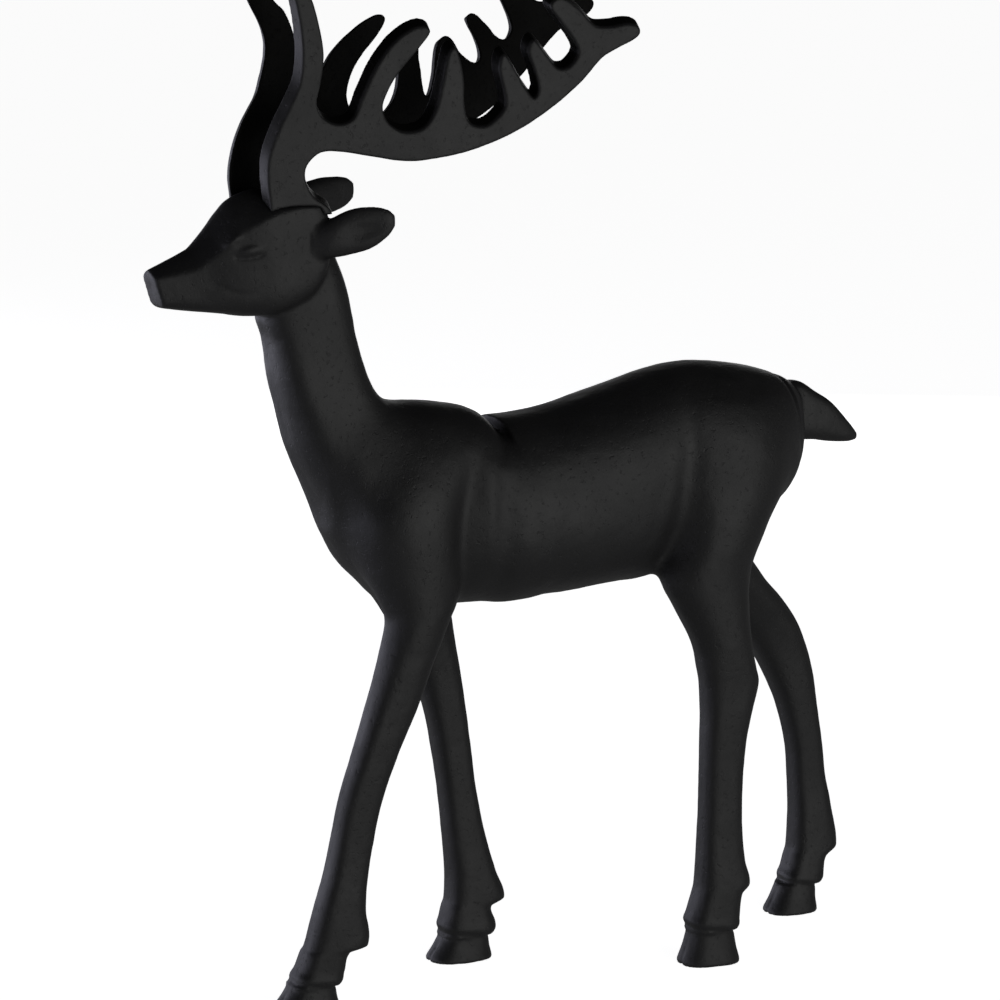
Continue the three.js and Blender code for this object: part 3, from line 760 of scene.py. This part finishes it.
def mesh_piece(name, points, faces):
    """A smooth-shaded mesh object from points in layout millimetres, thinned if it is too fine."""
    mesh = bpy.data.meshes.new(name)
    mesh.vertices.add(len(points))
    mesh.vertices.foreach_set("co", ((points + SHIFT) * MM).astype(np.float32).ravel())
    mesh.loops.add(faces.size)
    mesh.loops.foreach_set("vertex_index", faces.astype(np.int32).ravel())
    mesh.polygons.add(len(faces))
    mesh.polygons.foreach_set("loop_start", np.arange(0, faces.size, faces.shape[1], dtype=np.int32))
    mesh.update(calc_edges=True)
    piece = bpy.data.objects.new(name, mesh)
    bpy.context.scene.collection.objects.link(piece)
    triangles = len(faces) * (faces.shape[1] - 2)
    if triangles > MOST_TRIANGLES:
        thin = piece.modifiers.new("fewer faces", "DECIMATE")
        thin.ratio = MOST_TRIANGLES / triangles
        graph = bpy.context.evaluated_depsgraph_get()
        piece.data = bpy.data.meshes.new_from_object(piece.evaluated_get(graph))
        piece.data.name = name
        piece.modifiers.clear()
    piece.data.polygons.foreach_set("use_smooth", [True] * len(piece.data.polygons))
    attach(piece, "root")
    return piece


def body_piece(name, clay, seed):
    """The body, with its soles kept flat."""
    points, faces = net(clay)
    points = cast_skin(clay, settle(clay, points), seed)
    points[:, 2] = np.maximum(points[:, 2], SOLE)
    return mesh_piece(name, points, faces)


def outline_distance(outline, u, v):
    """Signed distance in the plate's own plane to its outline, negative inside."""
    line = curve_points(outline, 0.9, closed=True)[:, :2]
    ends = np.roll(line, -1, axis=0)
    nearest = np.full(np.broadcast_shapes(u.shape, v.shape), 1e9, np.float32)
    inside = np.zeros(nearest.shape, bool)
    for (au, av), (bu, bv) in zip(line, ends):
        du, dv = bu - au, bv - av
        s = np.clip(((u - au) * du + (v - av) * dv) / (du * du + dv * dv), 0, 1)
        nearest = np.minimum(nearest, (u - au - s * du) ** 2 + (v - av - s * dv) ** 2)
        if av != bv:
            inside ^= ((v >= min(av, bv)) & (v < max(av, bv))) & (u < au + (v - av) / dv * du)
    return np.sqrt(nearest) * np.where(inside, -1, 1)


def antler_axes(antler):
    """The plate's back, up and out directions."""
    turn = math.radians(antler["turn"])
    lean = math.radians(antler["lean"])
    side = antler["side"]
    backward = np.array([side * math.sin(turn), math.cos(turn), 0])
    upward = np.array([side * math.sin(lean), 0, math.cos(lean)])
    upward -= backward * (upward @ backward)
    upward /= np.linalg.norm(upward)
    return backward, upward, np.cross(backward, upward)


def stand(antler, points):
    """Moves points from a plate's own plane to their place on the head."""
    backward, upward, outward = antler_axes(antler)
    across = points[..., 2:]
    up = points[..., 1:2] + antler["rise"] * (PLATE / 2 - antler["side"] * across) / PLATE
    return np.array(antler["foot"], float) + points[..., :1] * backward + up * upward + across * outward


def antler_clay(antler, body):
    """One plate antler, seated on the crown. Its edges slope out to the wider inner face.

    The left outline is that of the outer face, and the right outline that of the inner face.
    """
    outline = np.array(antler["outline"], float)
    low = (*(outline.min(0) - 9), -PLATE / 2 - 3)
    high = (*(outline.max(0) + 9), PLATE / 2 + 3)
    clay = Clay(low, high, PLATE_PITCH)
    u, v, w = clay.places((slice(None),) * 3)
    flat = outline_distance(outline, u, v)
    slope = antler["slope"]
    across = flat - antler["grow"] + (w - PLATE / 2) * slope / PLATE * antler["side"]
    across = across * PLATE / math.hypot(PLATE, slope) + PLATE_EDGE
    deep = np.abs(w) - PLATE / 2 + PLATE_EDGE
    rounded = np.hypot(np.maximum(across, 0), np.maximum(deep, 0))
    clay.field = (np.minimum(np.maximum(across, deep), 0) + rounded - PLATE_EDGE).astype(np.float32)
    # Only the foot of the plate is near the head, so only it is trimmed to the crown.
    cuts, u, v, w = clay.window((-20, low[1], -20), (40, 14, 20))
    place = stand(antler, np.stack(np.broadcast_arrays(u, v, w), -1))
    skull = body.sample(place.reshape(-1, 3)).reshape(place.shape[:3])
    trimmed = smooth_max(clay.field[cuts], 0.5 * SEAT_GAP - skull, 0.6)
    clay.field[cuts] = np.maximum(trimmed, CROWN - place[..., 2])
    return clay


def antler_piece(name, antler, body, seed):
    """One antler, with a mark for painted shade on its inner face and on the edges between its tines."""
    clay = antler_clay(antler, body)
    points, faces = net(clay)
    points = cast_skin(clay, settle(clay, points), seed)
    piece = mesh_piece(name, stand(antler, points), faces)
    # Painted shade: the mark picks out the inner face, which the other plate shades, and the edges between
    # the tines, which the tines in front of them shade.
    inward = -antler["side"] * points[:, 2]
    facing_side = soft_step(inward, PLATE / 2 - 0.9, PLATE / 2 - 0.3)
    edges = soft_step(inward, 1.2 - PLATE / 2, 1.9 - PLATE / 2)
    between_tines = edges * soft_step(points[:, 0], 13, 19)
    mark = piece.data.attributes.new("painted_shade_mask", "FLOAT", "POINT")
    mark.data.foreach_set("value", np.maximum(facing_side, between_tines).astype(np.float32))
    return piece


# ---- finishes ----

def linear(colour):
    """sRGB hex to the linear values that shaders take."""
    parts = [int(colour[k:k + 2], 16) / 255 for k in (1, 3, 5)]
    return [c / 12.92 if c <= 0.04045 else ((c + 0.055) / 1.055) ** 2.4 for c in parts] + [1]


def add_node(tree, kind, settings=None, links=None, stops=()):
    """One node with its settings and links; a key is a property or an input's name or number.

    The stops are the (place, colour) pairs of a colour ramp.
    """
    node = tree.nodes.new(kind)
    for key, value in (settings or {}).items():
        if isinstance(key, str) and hasattr(node, key):
            setattr(node, key, value)
        else:
            node.inputs[key].default_value = value
    for key, socket in (links or {}).items():
        tree.links.new(socket, node.inputs[key])
    for k, (place, colour) in enumerate(stops):
        marks = node.color_ramp.elements
        mark = marks[k] if k < 2 else marks.new(place)
        mark.position = place
        mark.color = linear(colour)
    return node


def new_material(name):
    """An empty material and its node tree."""
    material = bpy.data.materials.new(name)
    material.use_nodes = True
    material.node_tree.nodes.clear()
    return material, material.node_tree


def black_paint_over_cast_iron(name, painted_shade_inside=False):
    """Satin black stove paint over rough sand-cast iron.

    The mould's sand leaves grain about 0.6 mm across, pits of 1 to 2 mm and low lumps. The paint
    fills the finest of it, so the surface reads as soft satin black with small broken glints;
    handling has rubbed the high spots a shade greyer. On the antlers the marked faces, between the
    two plates and between the tines, get painted shade: darker and duller where they shade each other.
    """
    material, tree = new_material(name)
    place = add_node(tree, "ShaderNodeTexCoord").outputs["Object"]

    # A noise's scale is its cells per metre, 1 / size. Grain is drawn at 0.9 mm so that it shows.
    grain_size, pit_size, lump_size, patch_size = 0.0009, 0.0022, 0.006, 0.03
    grain = add_node(tree, "ShaderNodeTexNoise", {"Scale": 1 / grain_size, "Detail": 2.0, "Roughness": 0.6},
                     {"Vector": place})
    pits = add_node(tree, "ShaderNodeTexNoise", {"Scale": 1 / pit_size, "Detail": 3.0, "Roughness": 0.55},
                    {"Vector": place})
    pit_shape = add_node(tree, "ShaderNodeMapRange",
                         {"From Min": 0.60, "From Max": 0.74, "To Min": 0.0, "To Max": 1.0},
                         {"Value": pits.outputs[0]})
    lump_field = add_node(tree, "ShaderNodeTexNoise", {"Scale": 1 / lump_size, "Detail": 2.0},
                          {"Vector": place})
    patches = add_node(tree, "ShaderNodeTexNoise", {"Scale": 1 / patch_size, "Detail": 4.0, "Roughness": 0.6},
                       {"Vector": place})

    # A colour Mix takes its two colours at inputs 6 and 7 and gives the mix at output 2.
    colour = add_node(tree, "ShaderNodeValToRGB", links={"Fac": patches.outputs[0]},
                      stops=[(0.3, "#1b1b1c"), (0.5, "#202021"), (0.72, "#252526")])
    wear = add_node(tree, "ShaderNodeValToRGB", links={"Fac": grain.outputs[0]},
                    stops=[(0.45, "#1e1e1f"), (0.8, "#2b2b2c")])
    paint = add_node(tree, "ShaderNodeMix", {"data_type": "RGBA", "blend_type": "LIGHTEN", 0: 0.5},
                     {6: colour.outputs[0], 7: wear.outputs[0]})
    rough = add_node(tree, "ShaderNodeMapRange",
                     {"From Min": 0.3, "From Max": 0.7, "To Min": 0.42, "To Max": 0.56},
                     {"Value": patches.outputs[0]})

    # Bump heights in metres: low lumps, then grain, then pits that go inwards.
    swell = add_node(tree, "ShaderNodeBump", {"Strength": 0.35, "Distance": 0.0006},
                     {"Height": lump_field.outputs[0]})
    fine = add_node(tree, "ShaderNodeBump", {"Strength": 0.35, "Distance": 0.00015},
                    {"Height": grain.outputs[0], "Normal": swell.outputs[0]})
    pitted = add_node(tree, "ShaderNodeBump", {"Strength": 0.5, "Distance": 0.0003, "invert": True},
                      {"Height": pit_shape.outputs[0], "Normal": fine.outputs[0]})

    skin = add_node(tree, "ShaderNodeBsdfPrincipled",
                    {"Metallic": 0.0, "IOR": 1.5, "Specular IOR Level": 0.5},
                    {"Base Color": paint.outputs[2], "Roughness": rough.outputs[0],
                     "Normal": pitted.outputs[0]})
    # Painted shade on the marked faces: a darker colour and a weaker shine where the plates and tines shade
    # each other.
    if painted_shade_inside:
        inner = add_node(tree, "ShaderNodeAttribute", {"attribute_name": "painted_shade_mask"}).outputs["Fac"]
        shine = add_node(tree, "ShaderNodeMapRange",
                         {"From Min": 0.0, "From Max": 1.0, "To Min": 0.5, "To Max": 0.08},
                         {"Value": inner})
        painted_shade_colour = add_node(tree, "ShaderNodeMix", {"data_type": "RGBA", 7: linear("#0c0c0b")},
                        {0: inner, 6: paint.outputs[2]})
        tree.links.new(painted_shade_colour.outputs[2], skin.inputs["Base Color"])
        tree.links.new(shine.outputs[0], skin.inputs["Specular IOR Level"])
    add_node(tree, "ShaderNodeOutputMaterial", links={"Surface": skin.outputs[0]})
    return material


def pale_floor():
    """Matt white card. Its faint glow stands for the light that a pale room throws back on it."""
    material, tree = new_material("white_card")
    card = add_node(tree, "ShaderNodeBsdfDiffuse", {"Color": linear("#f2f2f2")})
    glow = add_node(tree, "ShaderNodeEmission", {"Color": (1, 1, 1, 1), "Strength": 0.94})
    both = add_node(tree, "ShaderNodeAddShader", links={0: card.outputs[0], 1: glow.outputs[0]})
    add_node(tree, "ShaderNodeOutputMaterial", links={"Surface": both.outputs[0]})
    return material


# ---- studio ----

# Softboxes: azimuth from the stag's front round to its left and elevation, in degrees; distance,
# width and height in metres; power in watts; colour.
SOFTBOXES = {
    "front softbox": (-38, -1, 1.4, 3.6, 0.7, 9.6, "#e6e6fa"),
    "side softbox": (108, 7, 1.5, 1.6, 1.6, 6.6, "#fffffd"),
    "far side softbox": (-120, 5, 1.8, 0.8, 0.6, 1.5, "#ffffff"),
}


def direction(azimuth, elevation):
    a, e = math.radians(azimuth), math.radians(elevation)
    return Vector((math.sin(a) * math.cos(e), -math.cos(a) * math.cos(e), math.sin(e)))


def aim(thing, place, target):
    thing.location = place
    thing.rotation_euler = (Vector(target) - Vector(place)).to_track_quat("-Z", "Y").to_euler()


def set_camera():
    """A long lens, from the stag's left and front, a little above."""
    azimuth, elevation, distance, target_height = 65, 9.75, 2.13, 222
    target = Vector((MIDDLE[0], MIDDLE[1], target_height - SOLE)) * MM
    lens = bpy.data.cameras.new("camera")
    lens.sensor_width = 36
    lens.lens = 168.84
    lens.clip_end = 100
    camera = bpy.data.objects.new("camera", lens)
    bpy.context.scene.collection.objects.link(camera)
    aim(camera, target + direction(azimuth, elevation) * distance, target)
    bpy.context.scene.camera = camera
    return target


def soft_light(name, azimuth, elevation, distance, width, height, power, colour, target):
    """A softbox on a stand, placed by its direction from the stag."""
    lamp = bpy.data.lights.new(name, "AREA")
    lamp.shape = "RECTANGLE"
    lamp.size = width
    lamp.size_y = height
    lamp.energy = power
    lamp.color = linear(colour)[:3]
    light = bpy.data.objects.new(name, lamp)
    bpy.context.scene.collection.objects.link(light)
    aim(light, target + direction(azimuth, elevation) * distance, target)
    light.visible_camera = False


def white_sweep():
    """A pale floor that curves up into a wall all round. It stays out of the stag's reflections."""
    hub, floor_radius, cove, wall_top, clear = 0.00001, 14, 3, 12, 0.0002
    cove_steps, around = 12, 72
    profile = [(hub, 0), (floor_radius, 0)]
    for k in range(1, cove_steps + 1):
        turn = math.radians(90 * k / cove_steps)
        profile.append((floor_radius + cove * math.sin(turn), cove - cove * math.cos(turn)))
    profile.append((floor_radius + cove, wall_top))
    points = []
    for r, z in profile:
        for k in range(around):
            turn = 2 * math.pi * k / around
            points.append((r * math.cos(turn), r * math.sin(turn), z - clear))
    faces = []
    for ring in range(0, (len(profile) - 1) * around, around):
        for k in range(around):
            after = (k + 1) % around
            faces.append((ring + k, ring + after, ring + around + after, ring + around + k))
    sweep = bpy.data.meshes.new("sweep")
    sweep.from_pydata(points, [], faces)
    floor = bpy.data.objects.new("sweep", sweep)
    floor.data.materials.append(pale_floor())
    bpy.context.scene.collection.objects.link(floor)
    floor.visible_glossy = False
    floor.visible_diffuse = False
    floor.visible_shadow = False


def studio(target):
    """The softboxes, a room that is pale below and dark above, and the floor."""
    for name, settings in SOFTBOXES.items():
        soft_light(name, *settings, target)
    world = bpy.data.worlds.new("studio")
    bpy.context.scene.world = world
    world.use_nodes = True
    tree = world.node_tree
    tree.nodes.clear()
    way = add_node(tree, "ShaderNodeTexCoord").outputs["Generated"]
    height = add_node(tree, "ShaderNodeSeparateXYZ", links={0: way}).outputs["Z"]
    level = add_node(tree, "ShaderNodeMapRange",
                     {"From Min": -0.1, "From Max": 0.45, "To Min": 0.16, "To Max": 0.018},
                     {"Value": height})
    sky = add_node(tree, "ShaderNodeBackground", {"Color": (1, 1, 1, 1)}, {"Strength": level.outputs[0]})
    add_node(tree, "ShaderNodeOutputWorld", links={"Surface": sky.outputs[0]})
    white_sweep()


bpy.context.scene.view_settings.view_transform = "Standard"
studio(set_camera())

body_paint = black_paint_over_cast_iron("satin_black_paint_over_sand_cast_iron")
# The antler paint darkens its marked faces as painted shade.
antler_paint = black_paint_over_cast_iron("satin_black_paint_with_painted_shade", painted_shade_inside=True)
skin = body_clay()
stag = body_piece("cast_body", skin, 3)
left_antler = antler_piece("cast_left_antler", ANTLERS["left"], skin, 11)
right_antler = antler_piece("cast_right_antler", ANTLERS["right"], skin, 17)

for piece, paint, node, slot in (
    (stag, body_paint, "stag_body", "black_iron_body"),
    (left_antler, antler_paint, "left_antler", "black_iron_antler"),
    (right_antler, antler_paint, "right_antler", "black_iron_antler"),
):
    piece.data.materials.append(paint)
    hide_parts(node)
